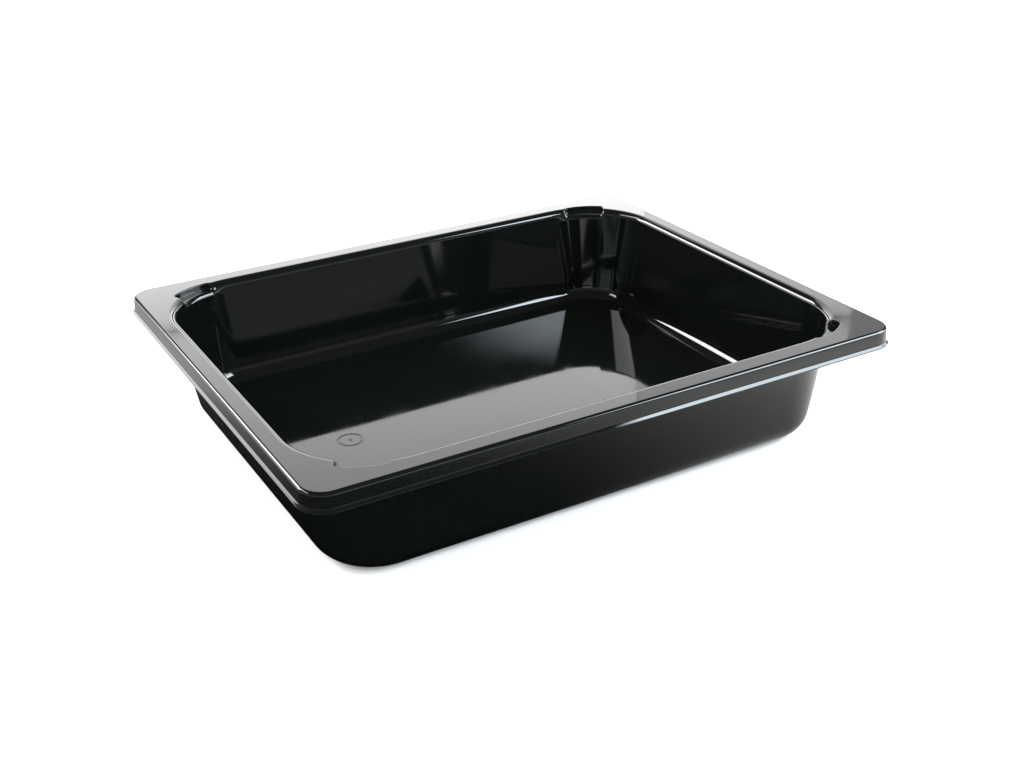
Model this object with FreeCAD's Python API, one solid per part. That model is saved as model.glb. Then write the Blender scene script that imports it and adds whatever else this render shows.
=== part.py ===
import FreeCAD, Part
import math
import os

# Half-size gastronorm (GN 1/2) deli food pan, 65 mm deep: one injection moulding in glossy black
# polycarbonate. The real pan is a single piece. It is written here as its named regions, which
# meet face to face on planes where the real pan has no seam: the floor, the foot ring round it,
# four walls, four corner walls, four stacking ledges, the flange in eight lengths and the skirt
# below it in eight lengths.
#
# Frame: millimetres. The origin is the centre of the foot ring, on the surface that the pan
# stands on. +X runs along the long side, +Y to the back and +Z up.

# ---- driving dimensions ----
OVERALL_LENGTH = 325.0
OVERALL_WIDTH = 265.0
HEIGHT = 65.0

WALL = 2.6
FLOOR = 3.0
FLANGE = 3.0
SKIRT = 2.4

DRAFT_DEG = 10.3
BODY_LENGTH_AT_RIM = 304.8
BODY_WIDTH_AT_RIM = 241.0
BODY_CORNER_AT_RIM = 46.0
BODY_CORNER_AT_BASE = 29.4
HEEL_RADIUS = 14.5
HEEL_CLEARANCE = 0.5
MOUTH_ROUND = 3.2

FLOOR_TOP = 7.5
FLOOR_FILLET = 9.5
FOOT_WIDTH = 8.0
RECESS_TAPER = 1.2
RECESS_ROUND = 1.5

LIP_PROJECTION = 1.6
LIP_HEIGHT = 2.4
LIP_ROUND = 1.1
SKIRT_DROP = 9.7
SKIRT_FLARE = 0.6
FLANGE_CORNER = 12.0
FLANGE_EDGE_ROUND = 1.8

LEDGE_DEPTH = 3.5
LEDGE_CORNER = 34.0
LEDGE_OUTSET = -0.7
LEDGE_WALL = 2.6
LEDGE_ROUND = 3.0

MARK_X = -86.1
MARK_Y = 6.2
MARK_RADIUS = 7.0
MARK_LINE = 0.9
MARK_DOT_RADIUS = 1.2
MARK_HEIGHT = 0.4

# ---- derived sizes ----
SLOPE = math.tan(math.radians(DRAFT_DEG))
WALL_LEVEL = WALL / math.cos(math.radians(DRAFT_DEG))
TANGENT_FACTOR = math.tan(math.radians((90.0 - DRAFT_DEG) / 2.0))

# outline of the flange's top, before its edge is rounded, and of the lip below it
TOP_X = OVERALL_LENGTH / 2.0 - LIP_PROJECTION
TOP_Y = OVERALL_WIDTH / 2.0 - LIP_PROJECTION
LIP_BOTTOM_Z = HEIGHT - SKIRT_DROP
LIP_TOP_Z = LIP_BOTTOM_Z + LIP_HEIGHT
FLANGE_BOTTOM_Z = HEIGHT - FLANGE
SKIRT_INSIDE_X = TOP_X - SKIRT
SKIRT_INSIDE_Y = TOP_Y - SKIRT

# outline of the body, measured on its outside at the height of the rim
BODY_X = BODY_LENGTH_AT_RIM / 2.0
BODY_Y = BODY_WIDTH_AT_RIM / 2.0
CORNER_SLOPE = (BODY_CORNER_AT_RIM - BODY_CORNER_AT_BASE) / HEIGHT

# flat edge of the mouth, where the rounding into the walls starts
MOUTH_X = BODY_X - WALL_LEVEL + MOUTH_ROUND * TANGENT_FACTOR
MOUTH_Y = BODY_Y - WALL_LEVEL + MOUTH_ROUND * TANGENT_FACTOR

# straight walls end and corner walls start on these planes
CORNER_X = BODY_X - BODY_CORNER_AT_RIM
CORNER_Y = BODY_Y - BODY_CORNER_AT_RIM

# outline of the foot ring, which stops just short of the heel radius
FOOT_INSET = HEEL_RADIUS * TANGENT_FACTOR + HEEL_CLEARANCE
FOOT_X = BODY_X - SLOPE * HEIGHT - FOOT_INSET
FOOT_Y = BODY_Y - SLOPE * HEIGHT - FOOT_INSET
FOOT_CORNER = BODY_CORNER_AT_BASE - FOOT_INSET

# outline of the recess inside the foot ring
RECESS_X = FOOT_X - FOOT_WIDTH
RECESS_Y = FOOT_Y - FOOT_WIDTH
RECESS_CORNER = FOOT_CORNER - FOOT_WIDTH
RECESS_Z = FLOOR_TOP - FLOOR

# outline of the floor panel, which is flat above and below
PANEL_INSET = RECESS_TAPER + RECESS_ROUND
PANEL_X = RECESS_X - PANEL_INSET
PANEL_Y = RECESS_Y - PANEL_INSET
PANEL_CORNER = RECESS_CORNER - PANEL_INSET

LEDGE_Z = HEIGHT - LEDGE_DEPTH
LEDGE_BOTTOM_Z = LEDGE_Z - LEDGE_WALL
LEDGE_X = MOUTH_X + LEDGE_OUTSET
LEDGE_Y = MOUTH_Y + LEDGE_OUTSET
LEDGE_END_X = MOUTH_X - LEDGE_CORNER

# cutting blocks reach this far past what they cut
PAST = 10.0

SIDES = ("front", "back", "left", "right")
CORNERS = {
    "front_left": (-1.0, -1.0),
    "front_right": (1.0, -1.0),
    "back_left": (-1.0, 1.0),
    "back_right": (1.0, 1.0),
}


def vector(x, y, z):
    return FreeCAD.Vector(x, y, z)


def rounded_wire(half_x, half_y, radius, z):
    """Closed level wire of a rectangle with rounded corners."""
    cx = half_x - radius
    cy = half_y - radius
    arcs = []
    for start_deg, sign_x, sign_y in ((0.0, 1, 1), (90.0, -1, 1), (180.0, -1, -1), (270.0, 1, -1)):
        points = []
        for step_deg in (0.0, 45.0, 90.0):
            turn = math.radians(start_deg + step_deg)
            x = sign_x * cx + radius * math.cos(turn)
            y = sign_y * cy + radius * math.sin(turn)
            points.append(vector(x, y, z))
        arcs.append(points)
    edges = []
    for index, points in enumerate(arcs):
        next_start = arcs[(index + 1) % 4][0]
        edges.append(Part.Arc(points[0], points[1], points[2]).toShape())
        edges.append(Part.LineSegment(points[2], next_start).toShape())
    return Part.Wire(edges)


def rounded_prism(half_x, half_y, radius, z0, z1):
    face = Part.Face(rounded_wire(half_x, half_y, radius, z0))
    return face.extrude(vector(0, 0, z1 - z0))


def frustum(low, high):
    """Solid between two rounded rectangles, each given as half_x, half_y, radius and z."""
    return Part.makeLoft([rounded_wire(*low), rounded_wire(*high)], True, True)


def edges_at(shape, z):
    """Edges that lie level at a height."""
    found = []
    for edge in shape.Edges:
        box = edge.BoundBox
        if abs(box.ZMin - z) < 1e-4 and abs(box.ZMax - z) < 1e-4:
            found.append(edge)
    return found


def block(x0, x1, y0, y1, z0, z1):
    return Part.makeBox(x1 - x0, y1 - y0, z1 - z0, vector(x0, y0, z0))


def tapered_section(z, thickness_level):
    """Outline of the body at a height, moved inward by a level thickness."""
    inset = SLOPE * (HEIGHT - z) + thickness_level
    radius = BODY_CORNER_AT_RIM - CORNER_SLOPE * (HEIGHT - z) - thickness_level
    return (BODY_X - inset, BODY_Y - inset, radius, z)


def outer_body():
    """Outside of walls and floor, solid, up to the underside of the flange."""
    body = frustum(tapered_section(0.0, 0.0), tapered_section(FLANGE_BOTTOM_Z, 0.0))
    return body.makeFillet(HEEL_RADIUS, edges_at(body, 0.0))


def cavity():
    """The space inside the pan, running out past the top of the rim."""
    low = tapered_section(FLOOR_TOP, WALL_LEVEL)
    space = frustum(low, tapered_section(HEIGHT + PAST, WALL_LEVEL))
    return space.makeFillet(FLOOR_FILLET, edges_at(space, FLOOR_TOP))


def recess():
    """The shallow space under the floor, inside the foot ring."""
    low = (RECESS_X, RECESS_Y, RECESS_CORNER, 0.0)
    high = (RECESS_X - RECESS_TAPER, RECESS_Y - RECESS_TAPER, RECESS_CORNER - RECESS_TAPER, RECESS_Z)
    space = frustum(low, high)
    return space.makeFillet(RECESS_ROUND, edges_at(space, RECESS_Z))


def skirt_and_lip():
    """The flange's turned-down edge with its rounded lip, solid inside."""
    flared = (TOP_X + SKIRT_FLARE, TOP_Y + SKIRT_FLARE, FLANGE_CORNER + SKIRT_FLARE, LIP_BOTTOM_Z)
    skirt = frustum(flared, (TOP_X, TOP_Y, FLANGE_CORNER, HEIGHT))
    skirt = skirt.makeFillet(FLANGE_EDGE_ROUND, edges_at(skirt, HEIGHT))
    half_x = OVERALL_LENGTH / 2.0
    half_y = OVERALL_WIDTH / 2.0
    lip = rounded_prism(half_x, half_y, FLANGE_CORNER + LIP_PROJECTION, LIP_BOTTOM_Z, LIP_TOP_Z)
    level_edges = edges_at(lip, LIP_BOTTOM_Z) + edges_at(lip, LIP_TOP_Z)
    lip = lip.makeFillet(LIP_ROUND, level_edges)
    return skirt.fuse(lip)


def skirt_hollow():
    """The space under the flange, inside the skirt."""
    radius = FLANGE_CORNER - SKIRT
    return rounded_prism(SKIRT_INSIDE_X, SKIRT_INSIDE_Y, radius, LIP_BOTTOM_Z - PAST, FLANGE_BOTTOM_Z)


def ledge_zone(sign_x, sign_y, margin, z0, z1):
    """Half of a corner, next to the long side: from its middle line to the ledge's square end."""
    middle = CORNER_X - CORNER_Y
    spread = margin * math.sqrt(2.0)
    far = OVERALL_LENGTH
    near_x = LEDGE_END_X - margin
    corners = (
        (near_x, near_x - middle - spread),
        (far, far - middle - spread),
        (near_x, far - middle - spread),
    )
    points = [vector(sign_x * x, sign_y * y, z0) for x, y in corners]
    face = Part.Face(Part.makePolygon(points + points[:1]))
    return face.extrude(vector(0, 0, z1 - z0))


def ledge_pocket(sign_x, sign_y):
    """The recess above a ledge."""
    outline = rounded_prism(LEDGE_X, LEDGE_Y, LEDGE_CORNER, LEDGE_Z, HEIGHT + PAST)
    return outline.common(ledge_zone(sign_x, sign_y, 0.0, LEDGE_Z, HEIGHT + PAST))


def ledge_housing(sign_x, sign_y, top_z):
    """The thickening of the corner that carries a ledge and its riser."""
    half_x = LEDGE_X + LEDGE_WALL
    half_y = LEDGE_Y + LEDGE_WALL
    radius = LEDGE_CORNER + LEDGE_WALL
    outline = rounded_prism(half_x, half_y, radius, LEDGE_BOTTOM_Z, top_z)
    return outline.common(ledge_zone(sign_x, sign_y, LEDGE_WALL, LEDGE_BOTTOM_Z, top_z))


def whole_pan():
    """The complete moulding, before it is divided into its regions."""
    edge = skirt_and_lip().cut(skirt_hollow())
    solid = outer_body().fuse(edge)
    space = cavity()
    pan = solid.cut(space)
    pan = pan.makeFillet(MOUTH_ROUND, mouth_edges(pan))
    for signs in CORNERS.values():
        housing = ledge_housing(signs[0], signs[1], FLANGE_BOTTOM_Z).cut(space)
        pan = pan.fuse(housing)
        pan = pan.cut(ledge_pocket(*signs))
    pan = pan.removeSplitter()
    pan = pan.makeFillet(LEDGE_ROUND, ledge_edges(pan))
    return pan.cut(recess())


def mouth_edges(rim):
    """Inner edges of the flat top."""
    found = []
    for edge in edges_at(rim, HEIGHT):
        box = edge.BoundBox
        if max(abs(box.XMin), abs(box.XMax)) < MOUTH_X and max(abs(box.YMin), abs(box.YMax)) < MOUTH_Y:
            found.append(edge)
    return found


def ledge_edges(pan):
    """Inner edges of the ledges, where they meet the corner walls."""
    half_x, half_y, radius, z = tapered_section(LEDGE_Z, WALL_LEVEL)
    found = []
    for edge in edges_at(pan, z):
        gaps = []
        for end in edge.Vertexes:
            across_x = abs(end.X) - half_x + radius
            across_y = abs(end.Y) - half_y + radius
            gaps.append(abs(math.hypot(across_x, across_y) - radius))
        if max(gaps) < 0.05 and edge.Length > LEDGE_ROUND:
            found.append(edge)
    return found


def floor_column(half_x, half_y, radius):
    """Prism over the flat of the floor."""
    return rounded_prism(half_x, half_y, radius, -PAST, HEIGHT / 2.0)


def side_block(side, z0, z1):
    """The stretch of the pan between two corners."""
    far = OVERALL_LENGTH
    blocks = {
        "front": (-CORNER_X, CORNER_X, -far, -CORNER_Y),
        "back": (-CORNER_X, CORNER_X, CORNER_Y, far),
        "left": (-far, -CORNER_X, -CORNER_Y, CORNER_Y),
        "right": (CORNER_X, far, -CORNER_Y, CORNER_Y),
    }
    return block(*blocks[side], z0, z1)


def corner_block(sign_x, sign_y, z0, z1):
    far = OVERALL_LENGTH
    xs = sorted((sign_x * CORNER_X, sign_x * far))
    ys = sorted((sign_y * CORNER_Y, sign_y * far))
    return block(xs[0], xs[1], ys[0], ys[1], z0, z1)


def moulded_mark():
    """Raised ring and dot on the floor, a plain mould mark."""
    centre = vector(MARK_X, MARK_Y, FLOOR_TOP)
    ring = Part.makeCylinder(MARK_RADIUS, MARK_HEIGHT, centre)
    ring = ring.cut(Part.makeCylinder(MARK_RADIUS - MARK_LINE, MARK_HEIGHT, centre))
    dot = Part.makeCylinder(MARK_DOT_RADIUS, MARK_HEIGHT, centre)
    return Part.makeCompound([ring, dot])


def regions(pan):
    """Names and shapes of the regions that make up the moulding."""
    parts = {}
    panel_column = floor_column(PANEL_X, PANEL_Y, PANEL_CORNER)
    foot_column = floor_column(FOOT_X, FOOT_Y, FOOT_CORNER)
    parts["floor_panel"] = pan.common(panel_column)
    parts["foot_ring"] = pan.common(foot_column.cut(panel_column))
    shell = pan.cut(foot_column)

    inside = rounded_prism(SKIRT_INSIDE_X, SKIRT_INSIDE_Y, FLANGE_CORNER - SKIRT, -PAST, HEIGHT + PAST)
    skirt = shell.cut(inside)
    shell = shell.common(inside)

    for name, signs in CORNERS.items():
        ledge = ledge_housing(signs[0], signs[1], HEIGHT + PAST)
        parts[name + "_ledge"] = shell.common(ledge)
        shell = shell.cut(ledge)

    for side in SIDES:
        parts[side + "_wall"] = shell.common(side_block(side, -PAST, FLANGE_BOTTOM_Z))
        parts[side + "_flange"] = shell.common(side_block(side, FLANGE_BOTTOM_Z, HEIGHT + PAST))
        parts[side + "_skirt"] = skirt.common(side_block(side, -PAST, HEIGHT + PAST))
    for name, signs in CORNERS.items():
        parts[name + "_corner_wall"] = shell.common(corner_block(*signs, -PAST, FLANGE_BOTTOM_Z))
        parts[name + "_flange"] = shell.common(corner_block(*signs, FLANGE_BOTTOM_Z, HEIGHT + PAST))
        parts[name + "_skirt"] = skirt.common(corner_block(*signs, -PAST, HEIGHT + PAST))
    return parts


def main():
    os.makedirs("parts", exist_ok=True)
    pan = whole_pan()
    print("pan", pan.isValid(), len(pan.Solids), round(pan.Volume / 1000.0, 1), "cm3", pan.BoundBox)
    parts = regions(pan)
    total = sum(shape.Volume for shape in parts.values())
    print("regions cover", round(total / pan.Volume, 6))
    parts["floor_mark"] = moulded_mark()
    for name in sorted(parts):
        shape = parts[name]
        print(name, shape.isValid(), len(shape.Solids), round(shape.Volume / 1000.0, 3))
        shape.exportStep("parts/" + name + ".step")


main()
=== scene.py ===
import math

import bpy
from mathutils import Matrix, Vector


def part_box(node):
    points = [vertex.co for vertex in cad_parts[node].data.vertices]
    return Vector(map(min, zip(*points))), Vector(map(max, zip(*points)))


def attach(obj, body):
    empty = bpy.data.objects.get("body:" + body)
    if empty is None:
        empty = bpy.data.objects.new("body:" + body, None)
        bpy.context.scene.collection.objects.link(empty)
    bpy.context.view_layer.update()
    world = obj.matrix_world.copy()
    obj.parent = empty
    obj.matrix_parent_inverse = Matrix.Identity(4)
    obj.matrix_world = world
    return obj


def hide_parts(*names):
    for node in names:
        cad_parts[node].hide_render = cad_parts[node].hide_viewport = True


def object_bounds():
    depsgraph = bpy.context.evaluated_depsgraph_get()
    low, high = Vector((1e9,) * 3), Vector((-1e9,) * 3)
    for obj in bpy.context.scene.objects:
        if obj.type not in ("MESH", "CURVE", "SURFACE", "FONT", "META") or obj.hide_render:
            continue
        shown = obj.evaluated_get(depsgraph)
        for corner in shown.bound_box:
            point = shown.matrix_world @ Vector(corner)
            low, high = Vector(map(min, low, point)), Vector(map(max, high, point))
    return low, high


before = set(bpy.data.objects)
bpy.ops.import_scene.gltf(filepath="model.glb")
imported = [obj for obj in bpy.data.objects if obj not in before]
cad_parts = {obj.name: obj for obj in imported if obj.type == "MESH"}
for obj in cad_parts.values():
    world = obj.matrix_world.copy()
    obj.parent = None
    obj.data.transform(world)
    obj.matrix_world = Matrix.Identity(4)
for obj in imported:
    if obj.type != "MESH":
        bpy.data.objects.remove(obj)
CAD_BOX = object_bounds()

# A half-size gastronorm food pan: one moulding in glossy black polycarbonate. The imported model
# holds it as regions that meet face to face. One closed mesh without a seam stands for them all,
# apart from the mark on its floor, which is a mesh of its own.
# Shapes are worked out in millimetres, and make_object() scales them to metres.

# a millimetre in metres
METRES = 0.001
BODY = "root"
MARK_NODE = "floor_mark"


def box_mm(node):
    low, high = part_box(node)
    return low / METRES, high / METRES


# ---- sizes that the frame gives ----
OVERALL = (CAD_BOX[1] - CAD_BOX[0]) / METRES
HALF_LENGTH = OVERALL.x / 2.0
HALF_WIDTH = OVERALL.y / 2.0
HEIGHT = OVERALL.z
PANEL_LOW, PANEL_HIGH = box_mm("floor_panel")
FOOT_HIGH = box_mm("foot_ring")[1]
FLOOR_TOP = PANEL_HIGH.z
RECESS_Z = PANEL_LOW.z
FLANGE_BOTTOM = box_mm("front_flange")[0].z
LIP_BOTTOM = box_mm("front_skirt")[0].z
CORNER_X = box_mm("front_flange")[1].x
CORNER_Y = box_mm("left_flange")[1].y

# ---- sizes of the moulding's section ----
WALL = 2.6
SKIRT = 2.4
DRAFT_DEG = 10.3
CORNER_AT_RIM = 46.0
CORNER_AT_BASE = 29.4
HEEL_RADIUS = 14.5
FLOOR_FILLET = 9.5
RECESS_TAPER = 1.2
RECESS_ROUND = 1.5
FOOT_EDGE_ROUND = 0.5
MOUTH_ROUND = 4.0
LIP_PROJECTION = 1.6
LIP_HEIGHT = 2.4
LIP_ROUND = 0.8
LIP_EDGE_ROUND = 0.4
LIP_SLOPE_DEG = 37.0
SKIRT_FLARE = 0.6
SKIRT_CREASE = 0.3
SKIRT_EDGE_ROUND = 0.5
FLANGE_CORNER = 12.0
FLANGE_EDGE_ROUND = 1.8
UNDER_FILLET = 0.7

LEDGE_DEPTH = 3.5
LEDGE_CORNER = 34.0
LEDGE_OUTSET = -1.35
LEDGE_WALL = 2.6
LEDGE_EDGE_ROUND = 3.0
LEDGE_FILLET = 0.4
LEDGE_TOP_ROUND = 0.7
HOUSING_ROUND = 1.0

# a ledge runs from the middle of its corner to a square end, and fades out past it as a shoulder
LEDGE_START_DEG = 45.0
LEDGE_END_DEG = 75.2
SHOULDER_END_DEG = 87.0
SHOULDER_SHARE = 0.16
HOUSING_START_DEG = 41.4
HOUSING_END_DEG = 78.4
JOG_DEG = 1.7

# gentle swell of the floor
SWELL_LENGTH = Vector((24.0, 70.0))
SWELL_RISE = 0.10
SWELL_WAVE = 0.07
SWELL_PHASE = 0.6
SWELL_STEEPNESS = 2.0

# the mark on the floor: the width of its ring's line, its dot's radius, how far it is sunk in, and
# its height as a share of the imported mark's
MARK_LINE = 1.3
MARK_DOT = 1.2
MARK_SUNK = 0.15
MARK_HEIGHT_SHARE = 0.3
DOME_END_DEG = 80.0

# ---- where the mesh is divided: insets from the floor's edge, heights, and shares of a stretch ----
LEAST_RADIUS = 2.0
FLAT_RINGS = (76.0, 68.0, 60.0, 52.0, 44.0, 36.0, 28.0, 20.0, 12.0, 6.0, 2.0, 0.3)
INNER_WALL_Z = (16.2, 21.0, 32.0, 44.0, 52.0, 54.8)
OUTER_WALL_Z = (44.0, 32.0, 20.0, 12.3)
UPPER_START_Z = 55.5
UNDER_END_Z = 50.0
RECESS_START = 1.2
RISER_START = 1.0
SHELF_SHARES = (0.06, 0.5, 0.94)
FACE_SHARES = (0.3, 0.65)
CREASE_SHARE = 0.5

# heights on the skirt's face above the lip, the bend onto the lip's slope as (out, up) pairs, and
# shares of the way down the slope
SKIRT_RISES = (2.0, 0.5)
LIP_BEND = ((0.0, 0.12), (0.05, -0.05))
LIP_SLOPE_SHARES = (0.25, 0.6, 0.94)

# how close a straight stretch comes to the rounding next to it
WALL_GAP = 0.2
FACE_GAP = 0.3

# ---- how finely the mesh is divided ----
UPPER_COUNT = 32
UPPER_WALL_COUNT = 12
LEDGE_WALL_COUNT = 4
RISER_COUNT = 3
UNDER_COUNT = 20
HEEL_COUNT = 17
FLOOR_FILLET_COUNT = 15
LEDGE_EDGE_COUNT = 11
FLANGE_EDGE_COUNT = 10
LIP_COUNT = 8
RECESS_COUNT = 7
UNDER_FILLET_COUNT = 6
SMALL_COUNT = 5
LEAST_COUNT = 4
MARK_RING_COUNT = 96
MARK_DOT_COUNT = 48
MARK_RIDGE_COUNT = 11
MARK_DOME_COUNT = 8
SIDE_STEPS = 14

# turns about a corner's centre: evenly spaced ones, closer ones where the flange's own corner is
TURN_COUNT = 31
CLOSE_FROM_DEG = 38.0
CLOSE_TO_DEG = 54.0
CLOSE_TURNS = (38.6, 53.9, 18)
JOG_COUNT = 7
JOG_CLEAR_DEG = 0.25

# ---- the plastic's looks: noises are (scale, detail) ----
PLASTIC_IOR = 1.585
PLASTIC_SPECULAR = 0.5
TONE_NOISE = (22.0, 4.0)
BLACK_TONES = ((0.0012, 0.0018, 0.0015), (0.0022, 0.0029, 0.0026))
HAZE_NOISE = (60.0, 6.0)
HAZE_SPAN = (0.3, 0.75)
ROUGHNESS = (0.03, 0.075)
WAVE_NOISE = (45.0, 2.0)
WAVE_STRENGTH = 0.01
WAVE_DEPTH = 0.0004

# ---- the studio, in metres ----
FLOOR_HALF = 6.0
FLOOR_DROP = 0.0002
FLOOR_TONE = (0.86, 0.86, 0.86, 1.0)

# the table as the pan mirrors it, all painted light and shade: brightness by distance from the pan's
# footprint (a painted shadow of the pan), times painted shade by distance from a shaded place, and a
# painted patch of light added to it
FOOTPRINT = (0.10, 0.075, 0.0)
PAINTED_SHADOW_REACH = (0.05, 0.14)
PAINTED_SHADOW_LEVEL = (0.04, 0.85)
PAINTED_SHADE_MIDDLE = (-0.30, -0.25, 0.0)
PAINTED_SHADE_REACH = (0.22, 0.46)
PAINTED_SHADE_LEVEL = (0.05, 1.1)
PAINTED_LIGHT_PATCH_MIDDLE = (0.30, -0.10, 0.0)
PAINTED_LIGHT_PATCH_REACH = (0.06, 0.34)
PAINTED_LIGHT_PATCH_LEVEL = (0.95, 0.0)

# what is all round: pale where it is seen, and a dark room where it is mirrored
SKY_TONE = (1.0, 1.0, 1.0, 1.0)
SKY_STRENGTH = 2.4
ROOM_TONES = ((0.45, 0.45, 0.45), (0.08, 0.08, 0.08))
ROOM_LEVELS = (0.0, 0.6)

# lights: name, headings, elevations, strengths at the bottom and the top, tint, and softness of
# the upright and the level edges
NEUTRAL = (1.0, 1.0, 1.0)
COOL = (0.82, 0.93, 1.0)
SHARP = (0.002, 0.02)
LIGHT_DISTANCE = 2.2
PANEL_COLUMNS = 25
PANEL_ROWS = 9
LIGHTS = (
    ("back_softbox_low", (2.0, 38.0), (16.5, 24.0), (5.2, 3.1), NEUTRAL, SHARP),
    ("back_softbox_high", (2.0, 38.0), (24.0, 43.0), (3.1, 1.2), NEUTRAL, SHARP),
    ("side_softbox_low", (38.0, 50.5), (16.5, 24.0), (3.6, 2.2), NEUTRAL, SHARP),
    ("side_softbox_high", (38.0, 50.5), (24.0, 43.0), (2.2, 0.8), NEUTRAL, SHARP),
    ("corner_softbox", (50.5, 64.0), (16.5, 43.0), (1.1, 0.6), NEUTRAL, SHARP),
    ("backdrop_glow", (-50.0, 70.0), (-8.0, 10.0), (4.5, 4.5), NEUTRAL, (0.05, 0.12)),
    ("key_lamp", (-50.0, -20.0), (17.0, 34.0), (17.0, 17.0), NEUTRAL, (0.08, 0.1)),
    ("upper_lamp", (-84.0, -29.5), (34.0, 46.0), (8.0, 8.0), NEUTRAL, (0.1, 0.1)),
    ("window", (94.0, 145.5), (18.0, 43.9), (9.0, 19.0), COOL, (0.04, 0.12)),
    ("side_window", (90.0, 134.0), (2.0, 20.0), (7.0, 7.0), COOL, (0.04, 0.05)),
    ("front_glow", (100.0, 178.0), (-10.0, 6.0), (2.4, 2.4), NEUTRAL, (0.1, 0.2)),
)

CAMERA_PLACE = (-0.3155, -0.5701, 0.3400)
CAMERA_HEADING_DEG = 29.64
CAMERA_PITCH_DEG = 26.15
CAMERA_ROLL_DEG = -1.13
CAMERA_LENS = 46.58
CAMERA_SENSOR = 36.0

# ---- derived sizes ----
SLOPE = math.tan(math.radians(DRAFT_DEG))
CORNER_SLOPE = (CORNER_AT_RIM - CORNER_AT_BASE) / HEIGHT
WALL_LEVEL = WALL / math.cos(math.radians(DRAFT_DEG))
TANGENT_FACTOR = math.tan(math.radians((90.0 - DRAFT_DEG) / 2.0))
BODY_X = CORNER_X + CORNER_AT_RIM
BODY_Y = CORNER_Y + CORNER_AT_RIM
MOUTH_TANGENT = MOUTH_ROUND * TANGENT_FACTOR
MOUTH_INSET = WALL_LEVEL - MOUTH_TANGENT
LEDGE_Z = HEIGHT - LEDGE_DEPTH
LEDGE_BOTTOM = LEDGE_Z - LEDGE_WALL
LEDGE_X = BODY_X - MOUTH_INSET + LEDGE_OUTSET
LEDGE_Y = BODY_Y - MOUTH_INSET + LEDGE_OUTSET
TOP_X = HALF_LENGTH - LIP_PROJECTION
TOP_Y = HALF_WIDTH - LIP_PROJECTION
FLARE_SLOPE = SKIRT_FLARE / (HEIGHT - LIP_BOTTOM)
FOOT_INSET = BODY_X - SLOPE * HEIGHT - FOOT_HIGH.x
RECESS_INSET = BODY_X - SLOPE * HEIGHT - PANEL_HIGH.x - RECESS_TAPER - RECESS_ROUND


# ---- outlines: rounded rectangles as (half_x, half_y, radius, z) ----
def tapered(z, inset):
    """The body's outline at a height, moved inward from its outside."""
    drop = HEIGHT - z
    half_x = BODY_X - SLOPE * drop - inset
    half_y = BODY_Y - SLOPE * drop - inset
    return (half_x, half_y, CORNER_AT_RIM - CORNER_SLOPE * drop - inset, z)


def level_outline(half_x, half_y, radius, z, out=0.0):
    """An outline at a height, moved outward."""
    return (half_x + out, half_y + out, radius + out, z)


def shrunk(outline, distances):
    """Copies of an outline at its own height, each moved inward by one of the distances."""
    half_x, half_y, radius, z = outline
    outlines = []
    for inset in distances:
        outlines.append((half_x - inset, half_y - inset, max(radius - inset, LEAST_RADIUS), z))
    return outlines


def shares(first, last, count):
    """Evenly spaced values from first to last, both included."""
    return [first + (last - first) * step / (count - 1.0) for step in range(count)]


def arc_offsets(radius, from_deg, to_deg, count):
    """Points of an arc as (cosine, sine) pairs times its radius."""
    turns = [math.radians(deg) for deg in shares(from_deg, to_deg, count)]
    return [(radius * math.cos(turn), radius * math.sin(turn)) for turn in turns]


def rounding_on_floor(radius, inset, floor_z, count):
    """Rounding between a level floor and a drafted wall, from the floor up, as outlines. The wall's
    face is at inset."""
    tangent = radius * TANGENT_FACTOR
    outlines = []
    for across, up in arc_offsets(radius, -90.0, -DRAFT_DEG, count):
        rise = radius + up
        outlines.append(tapered(floor_z + rise, inset + tangent - across + SLOPE * rise))
    return outlines


def edge_rounding(radius, edge_inset, edge_z, count):
    """Rounding from a drafted wall up onto a level top, as outlines. The top starts at edge_inset."""
    outlines = []
    for back, up in arc_offsets(radius, DRAFT_DEG, 90.0, count):
        drop = radius - up
        outlines.append(tapered(edge_z - drop, edge_inset + back - SLOPE * drop))
    return outlines


# ---- the section, from the middle of the floor over the rim to the middle of the underside ----
def inner_floor_and_wall():
    rounding = rounding_on_floor(FLOOR_FILLET, WALL_LEVEL, FLOOR_TOP, FLOOR_FILLET_COUNT)
    wall = [tapered(z, WALL_LEVEL) for z in INNER_WALL_Z]
    return shrunk(rounding[0], FLAT_RINGS) + rounding + wall


def mouth_plain():
    """Top of the wall and the rounding onto the flange."""
    wall_top = HEIGHT - MOUTH_TANGENT * math.cos(math.radians(DRAFT_DEG))
    wall_z = shares(UPPER_START_Z, wall_top - WALL_GAP, UPPER_WALL_COUNT)
    wall = [tapered(z, WALL_LEVEL) for z in wall_z]
    return wall + edge_rounding(MOUTH_ROUND, MOUTH_INSET, HEIGHT, UPPER_COUNT - UPPER_WALL_COUNT)


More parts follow.
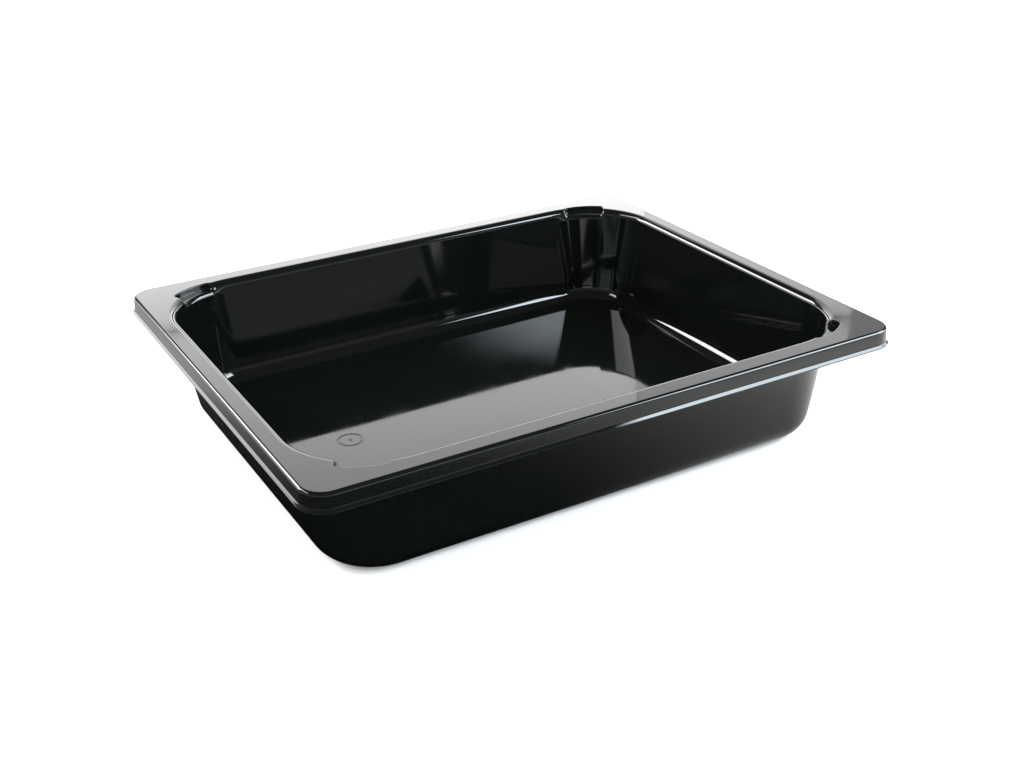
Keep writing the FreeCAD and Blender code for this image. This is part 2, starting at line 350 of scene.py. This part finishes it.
def mouth_ledge():
    """The same stretch where a ledge steps out: wall, ledge edge, shelf, riser and top rounding.
    A row is an inner outline, an outer one, or both and the share of the way between them."""
    tangent = LEDGE_EDGE_ROUND * TANGENT_FACTOR
    wall_top = LEDGE_Z - tangent * math.cos(math.radians(DRAFT_DEG))
    wall_z = shares(UPPER_START_Z, wall_top - WALL_GAP, LEDGE_WALL_COUNT)
    rows = [(tapered(z, WALL_LEVEL), None) for z in wall_z]
    for outline in edge_rounding(LEDGE_EDGE_ROUND, WALL_LEVEL - tangent, LEDGE_Z, LEDGE_EDGE_COUNT):
        rows.append((outline, None))
    riser = (LEDGE_X, LEDGE_Y, LEDGE_CORNER)
    fillet = []
    for across, up in arc_offsets(LEDGE_FILLET, -90.0, 0.0, LEAST_COUNT):
        outline = level_outline(*riser, LEDGE_Z + LEDGE_FILLET + up, across - LEDGE_FILLET)
        fillet.append((None, outline))
    shelf_edge = rows[-1][0]
    for share in SHELF_SHARES:
        rows.append((shelf_edge, fillet[0][1], share))
    top_z = HEIGHT - LEDGE_TOP_ROUND
    riser_z = shares(LEDGE_Z + RISER_START, top_z - FACE_GAP, RISER_COUNT)
    rows += fillet
    rows += [(None, level_outline(*riser, z)) for z in riser_z]
    for back, up in arc_offsets(LEDGE_TOP_ROUND, 0.0, 90.0, UPPER_COUNT - len(rows)):
        rows.append((None, level_outline(*riser, top_z + up, LEDGE_TOP_ROUND - back)))
    return rows


def rim_outside():
    """Rounded outer edge, flared skirt, lip and the inside of the skirt, as outlines. The lip slopes
    out from the skirt's face, then turns down to its level underside."""
    flare = math.degrees(math.atan(FLARE_SLOPE))
    tangent = FLANGE_EDGE_ROUND * math.tan(math.radians((90.0 - flare) / 2.0))
    flat_edge = (TOP_X - tangent, TOP_Y - tangent, FLANGE_CORNER - tangent)
    face = (TOP_X, TOP_Y, FLANGE_CORNER)
    inside = (TOP_X - SKIRT, TOP_Y - SKIRT, FLANGE_CORNER - SKIRT)
    lip_top = LIP_BOTTOM + LIP_HEIGHT
    start = FLARE_SLOPE * (HEIGHT - lip_top)
    slope = math.radians(LIP_SLOPE_DEG)
    run = LIP_PROJECTION - start - LIP_EDGE_ROUND * (1.0 - math.cos(slope))
    drop = run / math.tan(slope)
    outlines = []

    def add_arc(outline, z, out, radius, from_deg, to_deg, count):
        for across, up in arc_offsets(radius, from_deg, to_deg, count):
            outlines.append(level_outline(*outline, z + up, out + across))

    top_z = HEIGHT - FLANGE_EDGE_ROUND
    add_arc(flat_edge, top_z, 0.0, FLANGE_EDGE_ROUND, 90.0, flare, FLANGE_EDGE_COUNT)
    for rise in SKIRT_RISES:
        z = lip_top + rise
        outlines.append(level_outline(*face, z, FLARE_SLOPE * (HEIGHT - z)))
    for out, up in LIP_BEND:
        outlines.append(level_outline(*face, lip_top + up, start + out))
    for share in LIP_SLOPE_SHARES:
        outlines.append(level_outline(*face, lip_top - drop * share, start + run * share))
    centre_z = lip_top - drop - LIP_EDGE_ROUND * math.sin(slope)
    bend = LIP_PROJECTION - LIP_EDGE_ROUND
    add_arc(face, centre_z, bend, LIP_EDGE_ROUND, LIP_SLOPE_DEG, 0.0, SMALL_COUNT)
    add_arc(face, LIP_BOTTOM + LIP_ROUND, LIP_PROJECTION - LIP_ROUND, LIP_ROUND, 0.0, -90.0, LIP_COUNT)
    edge_z = LIP_BOTTOM + SKIRT_EDGE_ROUND
    add_arc(inside, edge_z, SKIRT_EDGE_ROUND, SKIRT_EDGE_ROUND, -90.0, -180.0, SMALL_COUNT)
    add_arc(inside, FLANGE_BOTTOM - SKIRT_CREASE, -SKIRT_CREASE, SKIRT_CREASE, 0.0, 90.0, LEAST_COUNT)
    return outlines


def under_plain():
    """From the flange's underside down the outside of the wall."""
    rows = []
    fillet_z = FLANGE_BOTTOM - UNDER_FILLET
    for back, up in arc_offsets(UNDER_FILLET, 90.0, 180.0, UNDER_FILLET_COUNT):
        rows.append(tapered(fillet_z + up, -UNDER_FILLET - back))
    wall_z = shares(fillet_z - WALL_GAP, UNDER_END_Z, UNDER_COUNT - len(rows))
    return rows + [tapered(z, 0.0) for z in wall_z]


def under_housing():
    """The same stretch where the ledge's housing stands out of the wall."""
    outline = (LEDGE_X + LEDGE_WALL, LEDGE_Y + LEDGE_WALL, LEDGE_CORNER + LEDGE_WALL)
    rows = []
    for back, up in arc_offsets(UNDER_FILLET, 90.0, 180.0, SMALL_COUNT):
        z = FLANGE_BOTTOM - UNDER_FILLET + up
        rows.append((None, level_outline(*outline, z, UNDER_FILLET + back)))
    for across, up in arc_offsets(HOUSING_ROUND, 0.0, -90.0, SMALL_COUNT):
        z = LEDGE_BOTTOM + HOUSING_ROUND + up
        rows.append((None, level_outline(*outline, z, across - HOUSING_ROUND)))
    crease = tapered(LEDGE_BOTTOM, -UNDER_FILLET)
    rows.append((crease, rows[-1][1], CREASE_SHARE))
    fillet_z = LEDGE_BOTTOM - UNDER_FILLET
    for back, up in arc_offsets(UNDER_FILLET, 90.0, 180.0, LEAST_COUNT):
        rows.append((tapered(fillet_z + up, -UNDER_FILLET - back), None))
    for z in shares(fillet_z - WALL_GAP, UNDER_END_Z, UNDER_COUNT - len(rows)):
        rows.append((tapered(z, 0.0), None))
    return rows


def outer_wall_and_underside():
    """Outer wall, heel, foot ring and the recess inside it."""
    base = tapered(0.0, 0.0)
    wall = [tapered(z, 0.0) for z in OUTER_WALL_Z]
    heel = rounding_on_floor(HEEL_RADIUS, 0.0, 0.0, HEEL_COUNT)
    recess_edge = shrunk(base, (RECESS_INSET,))[0][:3]
    foot = shrunk(base, (FOOT_INSET, RECESS_INSET - FOOT_EDGE_ROUND - FACE_GAP))
    for back, up in arc_offsets(FOOT_EDGE_ROUND, -90.0, 0.0, SMALL_COUNT):
        foot.append(level_outline(*recess_edge, FOOT_EDGE_ROUND + up, FOOT_EDGE_ROUND - back))
    taper = RECESS_TAPER / RECESS_Z
    round_z = RECESS_Z - RECESS_ROUND
    for z in (RECESS_START, round_z - WALL_GAP):
        foot.append(level_outline(*recess_edge, z, -taper * z))
    for across, up in arc_offsets(RECESS_ROUND, 0.0, 90.0, RECESS_COUNT):
        out = -taper * round_z - RECESS_ROUND + across
        foot.append(level_outline(*recess_edge, round_z + up, out))
    return wall + heel[::-1] + foot + shrunk(foot[-1], FLAT_RINGS)[::-1]


# ---- stations: where the section is placed round the pan ----
def corner_turns():
    """Turns about a corner's centre, close together where the flange's own corner is and where a
    ledge or its housing starts or ends."""
    spread = shares(0.0, 90.0, TURN_COUNT)
    turns = {turn for turn in spread if not CLOSE_FROM_DEG < turn < CLOSE_TO_DEG}
    turns.update(shares(*CLOSE_TURNS))
    for edge in (LEDGE_START_DEG, LEDGE_END_DEG, HOUSING_START_DEG, HOUSING_END_DEG):
        turns = {turn for turn in turns if abs(turn - edge) > JOG_DEG + JOG_CLEAR_DEG}
        turns.update(shares(edge - JOG_DEG, edge + JOG_DEG, JOG_COUNT))
    return sorted(turns)


def stations():
    """Stations anticlockwise from above. Each is a list of (weight, sign_x, sign_y, turn)."""
    turns = corner_turns()
    found = []
    corners = ((1, 1, turns), (-1, 1, turns[::-1]), (-1, -1, turns), (1, -1, turns[::-1]))
    for index, (sign_x, sign_y, ordered) in enumerate(corners):
        found.extend([[(1.0, sign_x, sign_y, turn)] for turn in ordered])
        next_x, next_y, next_turns = corners[(index + 1) % len(corners)]
        for share in shares(0.0, 1.0, SIDE_STEPS + 1)[1:-1]:
            here = (1.0 - share, sign_x, sign_y, ordered[-1])
            there = (share, next_x, next_y, next_turns[0])
            found.append([here, there])
    return found


def arc_point(outline, sign_x, sign_y, turn):
    """A point of an outline's own corner arc, at a turn about the arc's centre."""
    half_x, half_y, radius, z = outline
    angle = math.radians(turn)
    x = half_x - radius + radius * math.cos(angle)
    y = half_y - radius + radius * math.sin(angle)
    return Vector((sign_x * x, sign_y * y, z))


def ray_point(outline, sign_x, sign_y, turn):
    """Where a level ray from the body's corner centre, at a turn, meets an outline."""
    half_x, half_y, radius, z = outline
    ray = Vector((math.cos(math.radians(turn)), math.sin(math.radians(turn))))
    reach = Vector((half_x - CORNER_X, half_y - CORNER_Y))
    centre = reach - Vector((radius, radius))
    if reach.x * ray.y <= centre.y * ray.x:
        length = reach.x / ray.x
    elif reach.y * ray.x <= centre.x * ray.y:
        length = reach.y / ray.y
    else:
        along = centre.dot(ray)
        length = along + math.sqrt(along * along - centre.length_squared + radius * radius)
    return Vector((sign_x * (CORNER_X + length * ray.x), sign_y * (CORNER_Y + length * ray.y), z))


def place(outline, station, point_on=arc_point):
    """The point of an outline at a station."""
    total = Vector((0.0, 0.0, 0.0))
    for weight, sign_x, sign_y, turn in station:
        total += weight * point_on(outline, sign_x, sign_y, turn)
    return total


def smooth(value):
    """A value's share from 0 to 1, eased so that it starts and ends level."""
    value = min(max(value, 0.0), 1.0)
    return value * value * (3.0 - 2.0 * value)


def within_turns(station, start, end):
    """1 between two turns of a corner and 0 outside them, with a smooth change over the jog."""
    if len(station) > 1:
        return 0.0
    turn = station[0][3]
    width = 2.0 * JOG_DEG
    rise = smooth((turn - start + JOG_DEG) / width)
    return rise * (1.0 - smooth((turn - end + JOG_DEG) / width))


def shoulder(station):
    """How much of the ledge's step is left past its square end."""
    if len(station) > 1 or station[0][3] < LEDGE_END_DEG:
        return 0.0
    past = (station[0][3] - LEDGE_END_DEG) / (SHOULDER_END_DEG - LEDGE_END_DEG)
    return SHOULDER_SHARE * (1.0 - smooth(past))


def stepped_points(plain, stepped, station, share):
    """Points of a stretch that is plain where share is 0 and stepped where it is 1."""
    points = []
    for outline, row in zip(plain, stepped):
        point = place(outline, station)
        if share > 0.0:
            inner, outer = row[0], row[1]
            if outer is None:
                target = place(inner, station)
            elif inner is None:
                target = place(outer, station, ray_point)
            else:
                target = place(inner, station).lerp(place(outer, station, ray_point), row[2])
            point = point.lerp(target, share)
        points.append(point)
    return points


def flat_points(first, last):
    """Points across a level face, close to both its edges and spread between them."""
    length = (last - first).length
    near = FACE_GAP / length
    return [first.lerp(last, share) for share in (near, *FACE_SHARES, 1.0 - near)]


def swelled(point):
    """A point of the floor, raised a little and unevenly, as cooling leaves a moulded floor."""
    share = min(PANEL_HIGH.x - abs(point.x), PANEL_HIGH.y - abs(point.y)) / PANEL_HIGH.y
    wave = math.sin(point.x / SWELL_LENGTH.x + SWELL_PHASE) * math.cos(point.y / SWELL_LENGTH.y)
    point.z += smooth(SWELL_STEEPNESS * share) * (SWELL_RISE + SWELL_WAVE * wave)
    return point


def section_at(station):
    """All points of the section at a station, in order."""
    ledge_share = max(within_turns(station, LEDGE_START_DEG, LEDGE_END_DEG), shoulder(station))
    housing_share = within_turns(station, HOUSING_START_DEG, HOUSING_END_DEG)
    mouth = stepped_points(MOUTH_PLAIN, MOUTH_LEDGE, station, ledge_share)
    under = stepped_points(UNDER_PLAIN, UNDER_HOUSING, station, housing_share)
    edge = [place(outline, station, ray_point) for outline in RIM_OUTSIDE]
    points = [swelled(place(outline, station)) for outline in INNER[:len(FLAT_RINGS)]]
    points += [place(outline, station) for outline in INNER[len(FLAT_RINGS):]]
    points += mouth
    points += flat_points(mouth[-1], edge[0])
    points += edge
    points += flat_points(edge[-1], under[0])
    points += under
    points += [place(outline, station) for outline in OUTER]
    return points


INNER = inner_floor_and_wall()
MOUTH_PLAIN = mouth_plain()
MOUTH_LEDGE = mouth_ledge()
RIM_OUTSIDE = rim_outside()
UNDER_PLAIN = under_plain()
UNDER_HOUSING = under_housing()
OUTER = outer_wall_and_underside()
assert len(MOUTH_PLAIN) == len(MOUTH_LEDGE) and len(UNDER_PLAIN) == len(UNDER_HOUSING)


def make_object(name, points, faces):
    """A smooth-shaded mesh object from points in millimetres."""
    mesh = bpy.data.meshes.new(name)
    mesh.from_pydata([point * METRES for point in points], [], faces)
    mesh.update()
    for polygon in mesh.polygons:
        polygon.use_smooth = True
    made = bpy.data.objects.new(name, mesh)
    bpy.context.scene.collection.objects.link(made)
    return made


def make_pan():
    """The whole moulding: the section's points joined from station to station."""
    columns = [section_at(station) for station in stations()]
    rows = len(columns[0])
    points = [point for column in columns for point in column]
    faces = []
    for index in range(len(columns)):
        here = index * rows
        there = ((index + 1) % len(columns)) * rows
        for row in range(rows - 1):
            faces.append((here + row, here + row + 1, there + row + 1, there + row))
    first_ring = [index * rows for index in range(len(columns))]
    last_ring = [index * rows + rows - 1 for index in range(len(columns))]
    faces.append(tuple(first_ring))
    faces.append(tuple(reversed(last_ring)))
    return make_object("pan_shell", points, faces)


def lathe(centre, profile, count, closed):
    """Points and faces of a profile of (radius, z) pairs, turned about an upright axis."""
    points = []
    faces = []
    rows = len(profile)
    for step in range(count):
        turn = 2.0 * math.pi * step / count
        for radius, z in profile:
            points.append(centre + Vector((radius * math.cos(turn), radius * math.sin(turn), z)))
    for step in range(count):
        here = step * rows
        there = ((step + 1) % count) * rows
        for row in range(rows if closed else rows - 1):
            following = (row + 1) % rows
            faces.append((here + row, there + row, there + following, here + following))
    return points, faces


def make_mark():
    """Raised ring with a domed dot at its middle, sunk a little into the floor."""
    low, high = box_mm(MARK_NODE)
    middle = (low + high) / 2.0
    centre = swelled(Vector((middle.x, middle.y, 0.0)))
    radius = (high.x - low.x) / 2.0
    height = (high.z - low.z) * MARK_HEIGHT_SHARE
    base_z = low.z - MARK_SUNK
    half = MARK_LINE / 2.0
    ridge = [(radius - MARK_LINE, base_z)]
    for across, up in arc_offsets(1.0, 180.0, 0.0, MARK_RIDGE_COUNT):
        ridge.append((radius - half + half * across, low.z + height * up))
    ridge.append((radius, base_z))
    points, faces = lathe(centre, ridge[::-1], MARK_RING_COUNT, True)
    dot = [(MARK_DOT, base_z)]
    for across, up in arc_offsets(1.0, 0.0, DOME_END_DEG, MARK_DOME_COUNT):
        dot.append((MARK_DOT * across, low.z + height * up))
    dot_points, dot_faces = lathe(centre, dot, MARK_DOT_COUNT, False)
    first = len(points)
    rows = len(dot)
    last = first + (MARK_DOT_COUNT - 1) * rows
    points += dot_points
    faces += [tuple(corner + first for corner in face) for face in dot_faces]
    faces.append(tuple(range(first + rows - 1, last + rows, rows)))
    faces.append(tuple(range(last, first - 1, -rows)))
    return make_object("mould_mark", points, faces)


# ---- materials ----
def new_material(name):
    material = bpy.data.materials.new(name)
    material.use_nodes = True
    material.node_tree.nodes.clear()
    return material, material.node_tree


def add(tree, kind, inputs=None, **properties):
    """A new node. Each of its inputs is given a value, or another node's output to be linked to."""
    node = tree.nodes.new(kind)
    for key, value in properties.items():
        setattr(node, key, value)
    for key, value in (inputs or {}).items():
        if isinstance(value, bpy.types.NodeSocket):
            tree.links.new(value, node.inputs[key])
        else:
            node.inputs[key].default_value = value
    return node


def coordinates(tree, kind):
    return add(tree, "ShaderNodeTexCoord").outputs[kind]


def noise(tree, where, scale, detail):
    inputs = {"Vector": where, "Scale": scale, "Detail": detail}
    return add(tree, "ShaderNodeTexNoise", inputs).outputs["Fac"]


def ramp(tree, factor, tones, levels=(0.0, 1.0)):
    """A colour that goes from one tone to another between two levels of a factor."""
    node = add(tree, "ShaderNodeValToRGB", {"Fac": factor})
    for element, tone, level in zip(node.color_ramp.elements, tones, levels):
        element.position = level
        element.color = (*tone, 1.0)
    return node.outputs["Color"]


def map_range(tree, value, source, target, **properties):
    """A value moved from one span to another."""
    inputs = {
        "Value": value,
        "From Min": source[0],
        "From Max": source[1],
        "To Min": target[0],
        "To Max": target[1],
    }
    return add(tree, "ShaderNodeMapRange", inputs, **properties).outputs["Result"]


def smooth_range(tree, value, source, target):
    return map_range(tree, value, source, target, interpolation_type="SMOOTHSTEP")


def calculate(tree, operation, *values):
    """The result of one operation on numbers."""
    return add(tree, "ShaderNodeMath", dict(enumerate(values)), operation=operation).outputs["Value"]


def calculate_vector(tree, operation, *vectors):
    """The outputs of one operation on vectors: Vector, or Value where the result is a length."""
    return add(tree, "ShaderNodeVectorMath", dict(enumerate(vectors)), operation=operation).outputs


def seen_or_mirrored(tree, seen, mirrored):
    """One shader for what is seen and lit directly, and another for what glossy surfaces mirror."""
    glossy = add(tree, "ShaderNodeLightPath").outputs["Is Glossy Ray"]
    return add(tree, "ShaderNodeMixShader", {"Fac": glossy, 1: seen, 2: mirrored}).outputs["Shader"]


def black_plastic():
    """Glossy black whose tone, roughness and waviness vary a little over the moulding."""
    material, tree = new_material("gloss_black_polycarbonate")
    where = coordinates(tree, "Object")
    haze = noise(tree, where, *HAZE_NOISE)
    wave = noise(tree, where, *WAVE_NOISE)
    bump_inputs = {"Strength": WAVE_STRENGTH, "Distance": WAVE_DEPTH, "Height": wave}
    bump = add(tree, "ShaderNodeBump", bump_inputs)
    shader_inputs = {
        "Base Color": ramp(tree, noise(tree, where, *TONE_NOISE), BLACK_TONES),
        "Roughness": map_range(tree, haze, HAZE_SPAN, ROUGHNESS),
        "IOR": PLASTIC_IOR,
        "Specular IOR Level": PLASTIC_SPECULAR,
        "Normal": bump.outputs["Normal"],
    }
    shader = add(tree, "ShaderNodeBsdfPrincipled", shader_inputs)
    add(tree, "ShaderNodeOutputMaterial", {"Surface": shader.outputs["BSDF"]})
    return material


def pale_floor_material():
    """Pale studio floor. The pan mirrors it as a dimmer table with painted light and shade: a painted
    shadow close to the pan and painted shade in front of it on the left, brighter further out, and a
    painted patch of light on the right."""
    material, tree = new_material("pale_floor")
    where = coordinates(tree, "Object")
    folded = calculate_vector(tree, "ABSOLUTE", where)["Vector"]
    beyond = calculate_vector(tree, "SUBTRACT", folded, FOOTPRINT)["Vector"]
    outside = calculate_vector(tree, "MAXIMUM", beyond, (0.0, 0.0, 0.0))["Vector"]
    gap = calculate_vector(tree, "LENGTH", outside)["Value"]
    from_shade = calculate_vector(tree, "DISTANCE", where, PAINTED_SHADE_MIDDLE)["Value"]
    from_patch = calculate_vector(tree, "DISTANCE", where, PAINTED_LIGHT_PATCH_MIDDLE)["Value"]
    # painted shadow of the pan: darker the closer a point is to its footprint
    near = smooth_range(tree, gap, PAINTED_SHADOW_REACH, PAINTED_SHADOW_LEVEL)
    # painted shade, by distance from a shaded place in front of the pan on the left
    painted_shade = smooth_range(tree, from_shade, PAINTED_SHADE_REACH, PAINTED_SHADE_LEVEL)
    # painted patch of light on the right
    painted_light_patch = smooth_range(tree, from_patch, PAINTED_LIGHT_PATCH_REACH, PAINTED_LIGHT_PATCH_LEVEL)
    level = calculate(tree, "ADD", calculate(tree, "MULTIPLY", near, painted_shade), painted_light_patch)
    pale = add(tree, "ShaderNodeBsdfDiffuse", {"Color": FLOOR_TONE}).outputs["BSDF"]
    # emission that glossy rays see in place of a lit table: painted light and shade, not a lamp
    painted_table_light = add(tree, "ShaderNodeEmission", {"Strength": level}).outputs["Emission"]
    add(tree, "ShaderNodeOutputMaterial", {"Surface": seen_or_mirrored(tree, pale, painted_table_light)})
    return material


def light_material(name, radiance, tint, soft):
    """Softbox face: radiance runs from its bottom to its top and falls off towards its edges."""
    material, tree = new_material(name)
    split = add(tree, "ShaderNodeSeparateXYZ", {"Vector": coordinates(tree, "UV")})
    middle = 0.5
    fades = []
    for axis, softness in zip("XY", soft):
        centred = calculate(tree, "SUBTRACT", split.outputs[axis], middle)
        size = calculate(tree, "ABSOLUTE", centred)
        fades.append(smooth_range(tree, size, (middle - softness, middle), (1.0, 0.0)))
    rise = map_range(tree, split.outputs["Y"], (0.0, 1.0), radiance)
    strength = calculate(tree, "MULTIPLY", calculate(tree, "MULTIPLY", *fades), rise)
    emission = add(tree, "ShaderNodeEmission", {"Color": (*tint, 1.0), "Strength": strength})
    add(tree, "ShaderNodeOutputMaterial", {"Surface": emission.outputs["Emission"]})
    return material


# ---- studio ----
def direction(heading_deg, elevation_deg):
    """Unit vector. Heading turns from +Y towards +X."""
    heading = math.radians(heading_deg)
    elevation = math.radians(elevation_deg)
    level = math.cos(elevation)
    return Vector((math.sin(heading) * level, math.cos(heading) * level, math.sin(elevation)))


def light_panel(name, headings, elevations, radiance, tint, soft):
    """A curved softbox that faces the pan, between two headings and two elevations in degrees."""
    mesh = bpy.data.meshes.new(name)
    points = []
    for heading in shares(*headings, PANEL_COLUMNS):
        for elevation in shares(*elevations, PANEL_ROWS):
            points.append(direction(heading, elevation) * LIGHT_DISTANCE)
    faces = []
    for column in range(PANEL_COLUMNS - 1):
        for row in range(PANEL_ROWS - 1):
            here = column * PANEL_ROWS + row
            faces.append((here, here + 1, here + PANEL_ROWS + 1, here + PANEL_ROWS))
    mesh.from_pydata(points, [], faces)
    layer = mesh.uv_layers.new(name="across")
    for loop in mesh.loops:
        column, row = divmod(loop.vertex_index, PANEL_ROWS)
        layer.data[loop.index].uv = (column / (PANEL_COLUMNS - 1.0), row / (PANEL_ROWS - 1.0))
    card = bpy.data.objects.new(name, mesh)
    bpy.context.scene.collection.objects.link(card)
    card.data.materials.append(light_material(name + "_light", radiance, tint, soft))
    card.visible_camera = False
    card.visible_shadow = False


def make_floor():
    """A level square a little below the pan's foot."""
    mesh = bpy.data.meshes.new("studio_floor")
    corners = [(x * FLOOR_HALF, y * FLOOR_HALF, 0.0) for x, y in ((-1, -1), (1, -1), (1, 1), (-1, 1))]
    mesh.from_pydata(corners, [], [(0, 1, 2, 3)])
    floor = bpy.data.objects.new("studio_floor", mesh)
    bpy.context.scene.collection.objects.link(floor)
    floor.location = (0.0, 0.0, -FLOOR_DROP)
    floor.data.materials.append(pale_floor_material())


def make_world():
    """Pale all round for the floor and the background, and a dark room in reflections."""
    world = bpy.data.worlds.new("studio")
    world.use_nodes = True
    tree = world.node_tree
    tree.nodes.clear()
    split = add(tree, "ShaderNodeSeparateXYZ", {"Vector": coordinates(tree, "Generated")})
    tone = ramp(tree, split.outputs["Z"], ROOM_TONES, ROOM_LEVELS)
    pale = add(tree, "ShaderNodeBackground", {"Color": SKY_TONE, "Strength": SKY_STRENGTH})
    room = add(tree, "ShaderNodeBackground", {"Color": tone})
    shader = seen_or_mirrored(tree, pale.outputs["Background"], room.outputs["Background"])
    add(tree, "ShaderNodeOutputWorld", {"Surface": shader})
    bpy.context.scene.world = world


def make_camera():
    """The camera that sees the pan from where the photo was taken."""
    data = bpy.data.cameras.new("camera")
    data.lens = CAMERA_LENS
    data.sensor_width = CAMERA_SENSOR
    camera = bpy.data.objects.new("camera", data)
    bpy.context.scene.collection.objects.link(camera)
    turn = Matrix.Rotation(math.radians(-CAMERA_HEADING_DEG), 4, "Z")
    tilt = Matrix.Rotation(math.radians(90.0 - CAMERA_PITCH_DEG), 4, "X")
    roll = Matrix.Rotation(math.radians(CAMERA_ROLL_DEG), 4, "Z")
    camera.matrix_world = Matrix.Translation(CAMERA_PLACE) @ turn @ tilt @ roll
    bpy.context.scene.camera = camera
    bpy.context.scene.view_settings.view_transform = "Standard"


make_camera()
make_world()
make_floor()
for light in LIGHTS:
    light_panel(*light)

plastic = black_plastic()
pan = make_pan()
pan.data.materials.append(plastic)
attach(pan, BODY)
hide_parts(*[node for node in sorted(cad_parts) if node != MARK_NODE])

mark = make_mark()
mark.data.materials.append(plastic)
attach(mark, BODY)
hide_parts(MARK_NODE)
